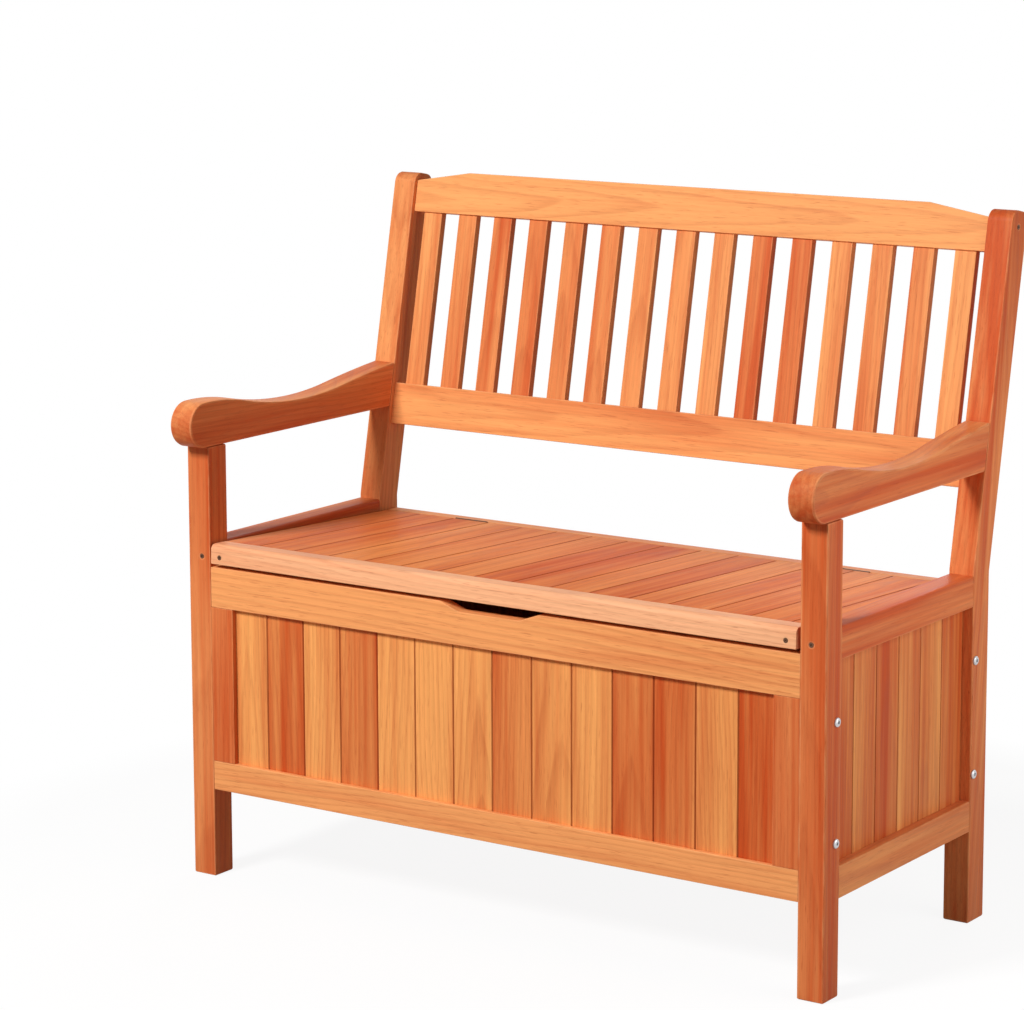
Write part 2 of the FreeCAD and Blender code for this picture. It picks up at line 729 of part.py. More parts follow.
def make_panel(end, front, top_foot):
    """One panel's lower rail, stiles and boards; its boards lie flush with the box's inside."""
    back = front + D["PanelThickness"]
    depth = (front, back)
    if end == "front":
        inner = (back - D["BoardThickness"], back)
        corner = (-PANEL_HALF, inner[0])
        turn = NO_TURN
    else:
        inner = (front, front + D["BoardThickness"])
        corner = (PANEL_HALF, inner[1])
        turn = FreeCAD.Rotation(FreeCAD.Vector(0, 0, 1), 180)
    name = f"{end}_lower_rail"
    blank = block(f"{name}_blank", GROUND, (-LEG_INNER, LEG_INNER), depth, (D["LowerRailFoot"], LOWER_TOP))
    space = ((-REBATE_HALF, REBATE_HALF), inner, (LOWER_TOP - D["Rebate"], LOWER_TOP))
    finished(name, rebated(name, blank, space))
    stiles = []
    for side, sign in SIDES:
        name = f"{end}_stile_{side}"
        inside = LEG_INNER - D["StileWidth"]
        blank = block(f"{name}_blank", GROUND, outward(sign, inside, LEG_INNER), depth, (LOWER_TOP, top_foot))
        space = (outward(sign, inside, REBATE_HALF), inner, (LOWER_TOP, top_foot))
        stiles.append(rebated(name, blank, space))
    finished(f"{end}_stiles", group(f"{end}_stiles_all", stiles))
    foot = LOWER_TOP - D["Rebate"]
    row = board_row(f"{end}_boards", GROUND, (*corner, foot), turn, D["FrontBoardPitch"], FRONT_BOARDS,
                    top_foot + D["Rebate"] - foot, D["BoardThickness"])
    finished(f"{end}_boards", row)


def make_rear_upper_rail():
    """The fixed rail behind the seat, which carries the hinges and carries on the seat's surface."""
    front = D["RearPanelFront"]
    foot = D["RearRailTop"] - D["RearRailHeight"]
    blank = block("rear_upper_rail_blank", GROUND, (-LEG_INNER, LEG_INNER),
                  (front, front + D["PanelThickness"]), (foot, D["RearRailTop"]))
    space = ((-REBATE_HALF, REBATE_HALF), (front, front + D["BoardThickness"]), (foot, foot + D["Rebate"]))
    finished("rear_upper_rail", rebated("rear_upper_rail", blank, space))


def make_corner_battens():
    thick = D["PanelThickness"]
    depths = {
        "front": (thick, thick + D["FrontBattenDepth"]),
        "rear": (D["RearPanelFront"] - D["BattenWidth"], D["RearPanelFront"]),
    }
    battens = []
    for end, depth in depths.items():
        for side, sign in SIDES:
            name = f"corner_batten_{end}_{side}"
            across = outward(sign, LEG_INNER - D["BattenWidth"], LEG_INNER)
            blank = block(f"{name}_blank", GROUND, across, depth, (D["LowerRailFoot"], D["BattenTop"]))
            battens.append(cut(name, blank, HOLES[name]))
    finished("corner_battens", group("corner_battens_all", battens))


def make_floor():
    """Boards from front to back, laid on a bearer inside each lower rail."""
    thick = D["PanelThickness"]
    reach = LEG_INNER - D["BattenWidth"]
    under = D["FloorUnder"]
    height = (under - D["FloorBearerHeight"], under)
    depths = ((thick, thick + D["FrontBattenDepth"]),
              (D["RearPanelFront"] - D["FrontBattenDepth"], D["RearPanelFront"]))
    bearers = [block(f"floor_bearer{number}", GROUND, (-reach, reach), depth, height)
               for number, depth in enumerate(depths)]
    finished("floor_bearers", group("floor_bearers_all", bearers))
    boards = []
    start = -(D["FloorBoardPitch"] * (FLOOR_BOARDS - 1) + D["FloorBoardWidth"]) / 2
    for number in range(FLOOR_BOARDS):
        x = start + D["FloorBoardPitch"] * number
        boards.append(block(f"floor_board{number}", GROUND, (x, x + D["FloorBoardWidth"]),
                            (thick, D["RearPanelFront"]), (under, under + D["FloorThickness"])))
    finished("floor_boards", group("floor_boards_all", boards))


# The backrest.

def make_back_slats():
    """Upright slats, each end let into a mortise in a back rail."""
    start = D["BackSetback"] + (D["BackThickness"] - D["BoardThickness"]) / 2
    height = (D["BackLowerTop"] - D["SlatTenon"], D["BackTopFoot"] + D["SlatTenon"])
    for number in range(BACK_SLATS):
        centre = D["SlatPitch"] * (number - (BACK_SLATS - 1) / 2)
        x = (centre - D["SlatWidth"] / 2, centre + D["SlatWidth"] / 2)
        name = f"back_slat_{number + 1:02d}"
        slat = block(f"{name}_blank", LEANING, x, (start, start + D["BoardThickness"]), height)
        drill(slat, "back_top_rail", "back_lower_rail")
        finished(name, slat)


def make_back_rails():
    depth = (D["BackSetback"], D["BackSetback"] + D["BackThickness"])
    lower = block("back_lower_rail_blank", LEANING, (-LEG_INNER, LEG_INNER), depth,
                  (D["BackLowerFoot"], D["BackLowerTop"]))
    finished("back_lower_rail", lower)
    end = D["BackTopEnd"] - D["BackTopFoot"]
    top = D["BackTopTop"] - D["BackTopFoot"]
    bevel = D["BackTopBevel"]
    corners = [
        (-LEG_INNER, 0), (LEG_INNER, 0), (LEG_INNER, end), (bevel, top), (-bevel, top), (-LEG_INNER, end),
    ]
    body = DOC.addObject("PartDesign::Body", "back_top_rail_blank")
    padded(body, outline(body, "XZ_Plane", corners), D["BackThickness"])
    LEANING.hold(body, 0, depth[1], D["BackTopFoot"])
    finished("back_top_rail", body)


# The seat, which lifts as a lid.

PIN_GAP = D["HingeHalfGap"] - D["HingeSink"] * sine(D["SeatSlope"])
PIN_P = (D["RearPanelFront"] - PIN_GAP) / cosine(D["SeatSlope"])
PIN_W = -D["HingeSink"]
PIN_DEPTH, PIN_HEIGHT = SEAT.point(PIN_P, PIN_W)
SEAT_END = PIN_P - D["HingeHalfGap"]


def make_seat_boards():
    front = D["NosingFront"]
    rear = D["NosingRear"]
    half = D["LidHalfWidth"]
    blank = block("seat_nosing_blank", SEAT, (-half, half), (front, rear), (-D["NosingThickness"], 0))
    top_corner = SEAT.point(front, as_size(0))
    soft = rounded("seat_nosing_soft", blank, D["NosingRound"],
                   lambda edge: close_to(middle_of(edge), top_corner))
    finished("seat_nosing", soft)
    start = D["LidBoardsStart"]
    row = board_row("seat_boards", SEAT, (-start, rear, 0), BACK_TURN, D["LidBoardPitch"], LID_BOARDS,
                    SEAT_END - rear, D["LidBoardThickness"], start * 2)
    finished("seat_boards", row)


def make_seat_battens():
    """Strips that rest on the cleats, battens under the boards, and the liner's two panels between them."""
    rear = D["NosingRear"]
    under = -D["LidBoardThickness"]
    deep = under - D["LidBattenThickness"]
    width = D["LidBattenWidth"]
    inner = D["LidSideInner"]
    end = SEAT_END - D["LidBattenMargin"]
    strips = []
    battens = []
    for side, sign in SIDES:
        name = f"seat_edge_strip_{side}"
        blank = block(f"{name}_blank", SEAT, outward(sign, D["LidEdgeInner"], D["LidHalfWidth"]), (rear, end),
                      (-D["NosingThickness"], under))
        strips.append(cut(name, blank, HOLES[name]))
        battens.append(block(f"seat_side_batten_{side}", SEAT, outward(sign, inner, D["LidSideOuter"]),
                             (rear, end), (deep, under)))
    finished("seat_edge_strips", group("seat_edge_strips_all", strips))
    middle = (rear + end) / 2
    starts = (rear, middle - width / 2, end - width)
    across = (D["BoardGap"] - inner, inner - D["BoardGap"])
    battens += [block(f"seat_cross_batten{number}", SEAT, across, (start, start + width), (deep, under))
                for number, start in enumerate(starts)]
    finished("seat_battens", group("seat_battens_all", battens))
    gap = D["LinerGap"]
    liner = []
    for number in range(2):
        span = (starts[number] + width + gap, starts[number + 1] - gap)
        liner.append(block(f"seat_liner{number}", SEAT, (-inner + gap, inner - gap), span,
                           (under - D["LinerThickness"], under)))
    finished("seat_liner", group("seat_liner_all", liner))


def make_cleats():
    """Sloping cleats on the side rails, which the seat's edge strips come down on."""
    top = -D["NosingThickness"] - D["RestGap"]
    depth = (D["PanelThickness"] + D["SideRailRound"], D["RearPanelFront"] - D["CleatRearGap"])
    inner = LEG_INNER - D["CleatWidth"]
    cleats = [block(f"seat_cleat_{side}", SEAT, outward(sign, inner, LEG_INNER), depth,
                    (top - D["CleatHeight"], top)) for side, sign in SIDES]
    finished("seat_cleats", group("seat_cleats_all", cleats))


# The hinges, at the seat's rear edge.

def hinge_leaf(name, sign, centre, place, pin, first, others_first):
    """A leaf and its knuckles, bored for the pin. sign is -1 for a leaf in front of the pin, or else 1."""
    pitch = D["HingeLength"] / KNUCKLES
    start = centre - D["HingeLength"] / 2
    v, w = pin
    far = v + D["HingeHalfGap"] * sign
    near = far - D["LeafThickness"] * sign
    plate = block(f"{name}_plate", place, (start, start + D["HingeLength"]),
                  (near, far) if sign > 0 else (far, near), (w - D["LeafHeight"], w))
    gap = D["KnuckleGap"]
    clear = []
    for number in range(others_first, KNUCKLES, 2):
        x = (start + pitch * number - gap, start + pitch * (number + 1) + gap)
        clear.append(crossbar(f"{name}_clear{number}", place, x, v, w, D["LeafRelief"]))
    knuckles = [cut(f"{name}_relieved", plate, clear)]
    for number in range(first, KNUCKLES, 2):
        x = (start + pitch * number + gap / 2, start + pitch * (number + 1) - gap / 2)
        knuckles.append(crossbar(f"{name}_knuckle{number}", place, x, v, w, D["KnuckleOuter"]))
    solid = fuse(f"{name}_solid", knuckles)
    bore = crossbar(f"{name}_bore", place, (start, start + D["HingeLength"]), v, w,
                    D["HingePinRadius"] + D["PinPlay"])
    return cut(name, solid, [bore])


def make_hinges():
    fixed = []
    moving = []
    pins = []
    on_ground = (PIN_DEPTH + D["OriginDepth"], PIN_HEIGHT)
    for side, sign in SIDES:
        centre = D["HingeCentre"] * sign
        fixed.append(hinge_leaf(f"hinge_frame_{side}", 1, centre, GROUND, on_ground, 0, 1))
        moving.append(hinge_leaf(f"hinge_seat_{side}", -1, centre, SEAT, (PIN_P, PIN_W), 1, 0))
        x = (centre - D["HingeLength"] / 2, centre + D["HingeLength"] / 2)
        pins.append(crossbar(f"hinge_pin_{side}", GROUND, x, *on_ground, D["HingePinRadius"]))
    finished("hinge_frame_leaves", group("hinge_frame_leaves_all", fixed))
    finished("hinge_seat_leaves", group("hinge_seat_leaves_all", moving))
    finished("hinge_pins", group("hinge_pins_all", pins))


# The gas stays: a tube that turns on the box, and a rod that slides in it up to the seat.

STAY = Place(PIN_DEPTH - D["StayFrameForward"], PIN_HEIGHT - D["StayDrop"], as_size(0))
STAY_REACH = D["StayFrameForward"] - D["StayLidForward"]


def eye(name, sign, v, bore):
    """A flat round eye on the stay's line, and the hole through it."""
    half = D["StayEyeWidth"] / 2
    x = outward(sign, D["StayAxis"] - half, D["StayAxis"] + half)
    ring = crossbar(f"{name}_eye", STAY, x, v, 0, D["StayEyeRadius"])
    return ring, crossbar(f"{name}_hole", STAY, x, v, 0, bore)


def make_stays():
    for side, sign in SIDES:
        axis = D["StayAxis"] * sign
        end = D["StayTubeEnd"]
        wall = D["StayTubeWall"]
        half = D["StayEyeWidth"] / 2
        bore = D["StudRadius"] + D["PinPlay"]
        closed = D["StayEyeRadius"] + wall
        inside = closed + wall
        over = D["StayBoreOverrun"]
        name = f"stay_tube_{side}"
        barrel = cylinder(f"{name}_barrel", STAY, axis, closed, 0, D["StayTubeRadius"], end - closed,
                          BACK_TURN)
        neck = block(f"{name}_neck", STAY, (axis - half, axis + half), (0, closed), (-half, half))
        ring, hole = eye(name, sign, 0, bore)
        hollow = cylinder(f"{name}_bore", STAY, axis, inside, 0, D["StayBore"], end - wall - inside,
                          BACK_TURN)
        guide = cylinder(f"{name}_guide", STAY, axis, end - wall - over, 0, D["StayRodRadius"] + D["PinPlay"],
                         wall + over * 2, BACK_TURN)
        finished(name, cut(f"{name}_cut", fuse(f"{name}_solid", [barrel, neck, ring]), [hole, hollow, guide]))
        name = f"stay_rod_{side}"
        start = D["StayPistonStart"]
        piston = cylinder(f"{name}_piston", STAY, axis, start, 0, D["StayPistonRadius"],
                          D["StayPistonLength"], BACK_TURN)
        shaft = cylinder(f"{name}_shaft", STAY, axis, start, 0, D["StayRodRadius"], STAY_REACH - start,
                         BACK_TURN)
        ring, hole = eye(name, sign, STAY_REACH, bore)
        finished(name, cut(f"{name}_cut", fuse(f"{name}_solid", [piston, shaft, ring]), [hole]))


def make_stay_brackets():
    """Plates with a stud: one on each cleat for the tube's eye, one under the seat beside the rod's eye."""
    half = D["BracketHalf"]
    thick = D["BracketThickness"]
    eye_outer = D["StayAxis"] + D["StayEyeWidth"] / 2
    eye_inner = D["StayAxis"] - D["StayEyeWidth"] / 2
    play = D["EndPlay"]
    cleat = LEG_INNER - D["CleatWidth"]
    seat_p = PIN_P - D["StayLidForward"] * cosine(D["SeatSlope"]) + D["StayDrop"] * sine(D["SeatSlope"])
    seat_w = PIN_W - D["StayLidForward"] * sine(D["SeatSlope"]) - D["StayDrop"] * cosine(D["SeatSlope"])
    under = -D["LidBoardThickness"]
    lower = []
    upper = []
    for side, sign in SIDES:
        name = f"stay_bracket_{side}"
        face = cleat - thick
        plate = block(f"{name}_plate", STAY, outward(sign, face, cleat), (-half, half),
                      (-D["BracketDrop"], D["BracketRise"]))
        collar = crossbar(f"{name}_collar", STAY, outward(sign, eye_outer + play, face), 0, 0,
                          D["StudCollar"])
        stud = crossbar(f"{name}_stud", STAY, outward(sign, eye_inner - play, face), 0, 0, D["StudRadius"])
        lower.append(fuse(name, [plate, collar, stud]))
        name = f"seat_bracket_{side}"
        outer = D["LidEdgeInner"]
        span = (seat_p - half, seat_p + half)
        leaf = block(f"{name}_leaf", SEAT, outward(sign, outer - thick, outer), span,
                     (seat_w - D["StudCollar"] - D["BracketMargin"], under))
        foot = block(f"{name}_foot", SEAT, outward(sign, D["LidSideOuter"] + play, outer), span,
                     (under - thick, under))
        stub = crossbar(f"{name}_stud", SEAT, outward(sign, eye_outer + play, outer - thick), seat_p, seat_w,
                        D["StudRadius"])
        upper.append(fuse(name, [leaf, foot, stub]))
    finished("stay_box_brackets", group("stay_box_brackets_all", lower))
    finished("stay_seat_brackets", group("stay_seat_brackets_all", upper))


def write_pieces():
    """Stops on any failed object; otherwise writes each piece to its own file."""
    DOC.recompute()
    failed = [item.Name for item in DOC.Objects if "Invalid" in item.State or "Error" in item.State]
    empty = [piece.Label for piece in PIECES if piece.Shape.isNull() or not piece.Shape.isValid()]
    if failed or empty:
        raise RuntimeError(f"failed {failed}, not valid {empty}")
    os.makedirs("parts", exist_ok=True)
    for piece in PIECES:
        piece.Shape.exportStep(f"parts/{piece.Label}.step")
    whole = FreeCAD.BoundBox()
    for piece in PIECES:
        whole.add(piece.Shape.BoundBox)
    print(len(PIECES), "pieces", whole)
    print("seat pin", PIN_DEPTH.number, PIN_HEIGHT.number)


make_bolts()
make_screws()
make_dowels()
make_front_legs()
make_rear_legs()
make_armrests()
make_side_rails()
make_side_boards()
make_front_upper_rail()
make_panel("front", as_size(0), D["FrontRailTop"] - D["FrontRailHeight"])
make_rear_upper_rail()
make_panel("rear", D["RearPanelFront"], D["RearRailTop"] - D["RearRailHeight"])
make_corner_battens()
make_floor()
make_back_slats()
make_back_rails()
make_seat_boards()
make_seat_battens()
make_cleats()
make_hinges()
make_stays()
make_stay_brackets()
write_pieces()
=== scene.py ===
"""Looks of the settle bench: oiled reddish wood, zinc-plated fittings, gas stays and a black seat liner."""

import json
import math
import random

import bpy
from mathutils import Matrix, Vector, noise

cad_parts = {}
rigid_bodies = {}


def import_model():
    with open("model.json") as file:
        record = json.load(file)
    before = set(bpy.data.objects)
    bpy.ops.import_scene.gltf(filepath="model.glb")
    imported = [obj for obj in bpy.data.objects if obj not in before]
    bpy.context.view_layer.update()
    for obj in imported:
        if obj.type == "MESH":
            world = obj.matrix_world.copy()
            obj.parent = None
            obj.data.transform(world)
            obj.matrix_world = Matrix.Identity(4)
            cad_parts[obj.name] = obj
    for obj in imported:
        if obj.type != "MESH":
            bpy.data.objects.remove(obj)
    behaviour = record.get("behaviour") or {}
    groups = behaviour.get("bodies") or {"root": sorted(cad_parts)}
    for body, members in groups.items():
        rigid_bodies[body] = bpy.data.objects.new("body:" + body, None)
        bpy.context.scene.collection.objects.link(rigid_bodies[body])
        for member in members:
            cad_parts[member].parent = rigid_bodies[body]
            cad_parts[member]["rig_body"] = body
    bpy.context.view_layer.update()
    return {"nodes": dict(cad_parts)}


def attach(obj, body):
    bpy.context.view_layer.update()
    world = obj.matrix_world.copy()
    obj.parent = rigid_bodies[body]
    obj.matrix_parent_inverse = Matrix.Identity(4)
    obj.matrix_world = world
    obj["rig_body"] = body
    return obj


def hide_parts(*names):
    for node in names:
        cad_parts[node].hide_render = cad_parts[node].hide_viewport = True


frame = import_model()
NODES = frame["nodes"]

# How the planes of the bench tilt back, in degrees.
LEVEL = 0
BACK_LEAN = 11.5
SEAT_SLOPE = 2.5
REAR_LEG_LEAN = 6


def paint(red, green, blue):
    """A colour as a shader takes it, from its screen values of 0 to 255."""
    linear = [((c / 255 + 0.055) / 1.055) ** 2.4 if c > 10 else c / 255 / 12.92 for c in (red, green, blue)]
    return (*linear, 1.0)


# Materials.

class Value:
    """A value inside a material. Sums, products and powers of values add Math nodes to it."""

    def __init__(self, finish, socket):
        self.finish = finish
        self.socket = socket

    def math(self, operation, *others):
        """A Math node on this value and the others, in that order."""
        return self.finish.node("ShaderNodeMath", dict(enumerate((self, *others))), operation=operation)

    def clamped(self):
        return self.finish.node("ShaderNodeClamp", {0: self})

    def __add__(self, other):
        return self.math("ADD", other)

    def __mul__(self, other):
        return self.math("MULTIPLY", other)

    __radd__ = __add__
    __rmul__ = __mul__

    def __sub__(self, other):
        return self.math("SUBTRACT", other)

    def __rsub__(self, other):
        return self.finish.node("ShaderNodeMath", {0: other, 1: self}, operation="SUBTRACT")

    def __truediv__(self, other):
        return self.math("DIVIDE", other)

    def __pow__(self, other):
        return self.math("POWER", other)


class Finish:
    """The nodes of a material, or of the world, as they are put together."""

    def __init__(self, owner):
        self.owner = owner
        owner.use_nodes = True
        self.tree = owner.node_tree
        self.tree.nodes.clear()

    def node(self, kind, inputs=(), output=0, stops=(), **settings):
        """Adds a node, sets it up, then fills or links its sockets. Returns its output, if it has one."""
        made = self.tree.nodes.new(kind)
        for name, setting in settings.items():
            setattr(made, name, setting)
        for index, (position, level) in enumerate(stops):
            elements = made.color_ramp.elements
            stop = elements[index] if index < 2 else elements.new(position)
            stop.position = position
            stop.color = (level, level, level, 1)
        for name, value in dict(inputs).items():
            if isinstance(value, Value):
                self.tree.links.new(value.socket, made.inputs[name])
            else:
                made.inputs[name].default_value = value
        return Value(self, made.outputs[output]) if made.outputs else None

    def attribute(self, name, output="Fac"):
        return self.node("ShaderNodeAttribute", output=output, attribute_name=name)

    def place(self):
        return self.node("ShaderNodeTexCoord", output="Object")

    def parts(self, vector, axes="XYZ"):
        return [self.node("ShaderNodeSeparateXYZ", {0: vector}, output=axis) for axis in axes]

    def cloud(self, place, scale, detail=2, rough=0.5):
        """Soft noise about 0.5. The scale is in features to the metre, one for all axes or one for each."""
        scale = scale if isinstance(scale, tuple) else (scale,) * 3
        stretched = self.node("ShaderNodeVectorMath", {0: place, 1: scale}, operation="MULTIPLY")
        inputs = {"Vector": stretched, "Scale": 1, "Detail": detail, "Roughness": rough}
        return self.node("ShaderNodeTexNoise", inputs)

    def blend(self, factor, first, second):
        return self.node("ShaderNodeMix", {0: factor, 6: first, 7: second}, output=2, data_type="RGBA")

    def lightened(self, colour, value):
        return self.node("ShaderNodeHueSaturation", {"Color": colour, "Value": value})

    def bump(self, height, strength, distance):
        return self.node("ShaderNodeBump", {"Height": height, "Strength": strength, "Distance": distance})

    def surface(self, **inputs):
        """Ends the material in one shader, whose sockets are named with _ for a space."""
        named = {name.replace("_", " "): value for name, value in inputs.items()}
        return self.ended_in(self.node("ShaderNodeBsdfPrincipled", named))

    def ended_in(self, shader, kind="ShaderNodeOutputMaterial"):
        self.node(kind, {"Surface": shader})
        return self.owner


# Features to the metre along, across and through the grain.
SLOW_SWAY = (1.7, 5, 5)
SLOW_WANDER = (2.6, 9, 9)
RING_WOBBLE = (4, 40, 40)
FIBRES = (9, 420, 420)
STREAKS = (2.2, 90, 90)
PATCHES = (1.5, 18, 18)
PORES = (38, 950, 950)

WEAR_PATCHES = 30  # Features to the metre.
SWAY_WIDTH = 0.034
WANDER_WIDTH = 0.026
LOG_TAPER = 0.035  # How much nearer to the pith a ring lies for each metre along the tree.
RING_PROFILE = ((0, 0.1), (1, 0.1), (0.5, 0.22), (0.86, 1), (0.93, 0.85))  # Pale wood, then a dark line.
GRAIN_RELIEF = 0.0006

RING = paint(164, 58, 24)
# Pale colour for the rounded edges: partly rubbed wear, partly a painted highlight where the edges catch the
# light.
RUBBED_EDGE_AND_HIGHLIGHT = paint(247, 190, 135)
JOINT_COLOUR = paint(150, 62, 30)


def oiled_wood(name, light, dark, ring_depth, sheen=0.12):
    """Softwood cut as a saw cuts it: rings about a pith that lies outside each piece, so that wide faces
    show arches or straight lines and ends show arcs. Fibres, pores and patches of tone run with the grain."""
    finish = Finish(bpy.data.materials.new(name))
    grain = finish.attribute("grain", "Vector")
    tone = finish.attribute("tone")
    gap = finish.attribute("ring_gap")
    end_grain = finish.attribute("end_grain")
    eased = finish.attribute("eased")
    joint = finish.attribute("joint")
    along, across, deep = finish.parts(grain)
    sway = (finish.cloud(grain, SLOW_SWAY) - 0.5) * SWAY_WIDTH
    wander = (finish.cloud(grain, SLOW_WANDER) - 0.5) * WANDER_WIDTH
    radius = ((across + sway) ** 2 + (deep + wander) ** 2) ** 0.5 + along * LOG_TAPER
    turns = radius / gap + finish.cloud(grain, RING_WOBBLE) * 0.6
    ring = finish.node("ShaderNodeValToRGB", {0: turns.math("FRACT")}, stops=RING_PROFILE)
    fibre = finish.cloud(grain, FIBRES, 3, 0.6)
    streak = finish.cloud(grain, STREAKS)
    patch = finish.cloud(grain, PATCHES)
    pores = ((finish.cloud(grain, PORES, 1) - 0.62) * 9).clamped()

    shade = (tone + (patch - 0.5) * 1.5 + (streak - 0.5) * 1.1).clamped()
    colour = finish.blend(shade, light, dark)
    colour = finish.blend(ring * (patch * 0.7 + 0.3) * ring_depth, colour, RING)
    colour = finish.blend((pores * 0.35 + end_grain * 0.3).clamped(), colour, RING)
    # Patches of pale colour on the eased edges: rubbed wear and a painted highlight along the arrises.
    worn_and_highlit = (eased * (finish.cloud(finish.place(), WEAR_PATCHES, 3) * 1.5 - 0.4)).clamped()
    colour = finish.blend(worn_and_highlit * 0.45, colour, RUBBED_EDGE_AND_HIGHLIGHT)
    colour = finish.blend(joint * 0.55, colour, JOINT_COLOUR)
    colour = finish.lightened(colour, fibre * 0.34 + 0.83)
    roughness = 0.5 + (fibre - 0.5) * 0.25 - ring * 0.06 + worn_and_highlit * 0.12 + end_grain * 0.2
    relief = fibre * 0.5 + ring * 0.3 - pores * 0.5
    return finish.surface(Base_Color=colour, Roughness=roughness, Specular_IOR_Level=sheen,
                          Normal=finish.bump(relief, 0.35, GRAIN_RELIEF))


SCRATCHES = (1400, 160, 160)


def plated_metal(name, colour, roughness, dull):
    """Metal with a faint mottle in its plating, fine scratches and a little dirt."""
    finish = Finish(bpy.data.materials.new(name))
    place = finish.place()
    mottle = finish.cloud(place, 90, 3)
    scratch = finish.cloud(place, SCRATCHES)
    grime = ((finish.cloud(place, 45, 4, 0.65) - 0.5) * 4).clamped()
    tinted = finish.lightened(finish.blend(grime * 0.3, colour, dull), mottle * 0.24 + 0.88)
    return finish.surface(Base_Color=tinted, Metallic=1.0 - grime * 0.15,
                          Roughness=roughness + (mottle - 0.5) * 0.2 + grime * 0.15,
                          Normal=finish.bump(scratch + mottle * 0.4, 0.12, 0.0003))


def satin_paint(name, colour, worn_colour):
    """Paint with a fine orange peel, rubbed thin in patches."""
    finish = Finish(bpy.data.materials.new(name))
    place = finish.place()
    peel = finish.cloud(place, 700)
    patch = finish.cloud(place, 60, 3)
    rubbed = ((patch - 0.6) * 6).clamped()
    tinted = finish.blend(rubbed * 0.35, colour, worn_colour)
    return finish.surface(Base_Color=tinted, Metallic=0.3 + rubbed * 0.2,
                          Roughness=0.34 + (patch - 0.5) * 0.2,
                          Normal=finish.bump(peel, 0.15, 0.0002))


TWO_THREADS = 0.0018


def woven_cloth(name, colour, thread_colour):
    """Plain-woven cloth, with its threads along the seat's width and depth."""
    finish = Finish(bpy.data.materials.new(name))
    place = finish.place()
    over_under = [(value * (math.tau / TWO_THREADS)).math("SINE") for value in finish.parts(place, "XY")]
    weave = over_under[0] * over_under[1] * 0.5 + 0.5
    dust = finish.cloud(place, 12, 4, 0.6)
    tinted = finish.blend(weave * 0.5 + (dust - 0.5) * 0.8, colour, thread_colour)
    return finish.surface(Base_Color=tinted, Roughness=0.82 + (dust - 0.5) * 0.15,
                          Specular_IOR_Level=0.15, Normal=finish.bump(weave, 0.4, 0.0004))


# Each wood has the colour of its palest and its reddest pieces, then how strong its rings are.
MATERIALS = {
    "frame_wood": oiled_wood("frame_wood", paint(244, 166, 102), paint(203, 88, 40), 0.32),
    "board_wood": oiled_wood("board_wood", paint(246, 170, 98), paint(198, 82, 34), 0.36),
    "seat_wood": oiled_wood("seat_wood", paint(240, 150, 82), paint(206, 88, 36), 0.3, sheen=0.03),
    # The nosing's wood is paler partly for its own tone and partly as a painted whitish sheen.
    "pale_wood": oiled_wood("pale_wood", paint(247, 184, 138), paint(216, 122, 70), 0.26),
    "back_wood": oiled_wood("back_wood", paint(246, 168, 102), paint(208, 96, 48), 0.32),
    "inner_wood": oiled_wood("inner_wood", paint(242, 160, 92), paint(202, 90, 42), 0.36),
    "bolt_steel": plated_metal("bolt_steel", paint(196, 196, 198), 0.34, paint(110, 102, 94)),
    "zinc_steel": plated_metal("zinc_steel", paint(176, 172, 166), 0.38, paint(110, 96, 78)),
    "dark_steel": plated_metal("dark_steel", paint(112, 80, 62), 0.45, paint(60, 38, 28)),
    "bracket_steel": plated_metal("bracket_steel", paint(150, 148, 150), 0.36, paint(92, 86, 80)),
    "stay_rod": plated_metal("stay_rod", paint(206, 204, 208), 0.2, paint(130, 124, 120)),
    "stay_tube": satin_paint("stay_tube", paint(122, 112, 122), paint(168, 160, 164)),
    "liner": woven_cloth("liner", paint(8, 8, 10), paint(20, 20, 23)),
}


# Pieces, dressed from the frame's own shapes.

SAME_POINT = 0.00001
FLAT_ENOUGH = math.radians(0.5)
SHARP_EDGE = math.radians(40)
SMOOTH_BELOW = math.radians(35)


def only(piece):
    """Makes this the one selected and active object."""
    bpy.ops.object.select_all(action="DESELECT")
    piece.select_set(True)
    bpy.context.view_layer.objects.active = piece


def finished_with(piece, kind, **settings):
    """Adds a modifier and applies it."""
    only(piece)
    modifier = piece.modifiers.new(kind.lower(), kind)
    for name, setting in settings.items():
        setattr(modifier, name, setting)
    bpy.ops.object.modifier_apply(modifier=modifier.name)


def solid_numbers(mesh):
    """Numbers each vertex by the separate solid it belongs to, left to right."""
    parent = list(range(len(mesh.vertices)))

    def root(vertex):
        while parent[vertex] != vertex:
            parent[vertex] = parent[parent[vertex]]
            vertex = parent[vertex]
        return vertex

    for edge in mesh.edges:
        first, second = (root(vertex) for vertex in edge.vertices)
        parent[first] = second
    owners = [root(vertex) for vertex in range(len(parent))]
    lefts = {}
    for owner, vertex in zip(owners, mesh.vertices):
        lefts[owner] = min(lefts.get(owner, math.inf), vertex.co.x + vertex.co.y * 0.001)
    order = {owner: number for number, owner in enumerate(sorted(lefts, key=lefts.get))}
    return [order[owner] for owner in owners]


def reach(mesh, owners, number, axes):
    """How far one solid goes along each axis: its lowest and highest place."""
    spots = [vertex.co for vertex, owner in zip(mesh.vertices, owners) if owner == number]
    along = [[spot.dot(axis) for spot in spots] for axis in axes]
    return [(min(places), max(places)) for places in along]


def merged_copy(node, name):
    """A copy of a CAD node's mesh with its loose triangles joined up and its flat faces made whole."""
    piece = bpy.data.objects.new(name, NODES[node].data.copy())
    bpy.context.scene.collection.objects.link(piece)
    only(piece)
    bpy.ops.mesh.customdata_custom_splitnormals_clear()
    bpy.ops.object.mode_set(mode="EDIT")
    bpy.ops.mesh.select_all(action="SELECT")
    bpy.ops.mesh.remove_doubles(threshold=SAME_POINT)
    bpy.ops.mesh.dissolve_limited(angle_limit=FLAT_ENOUGH)
    bpy.ops.object.mode_set(mode="OBJECT")
    return piece


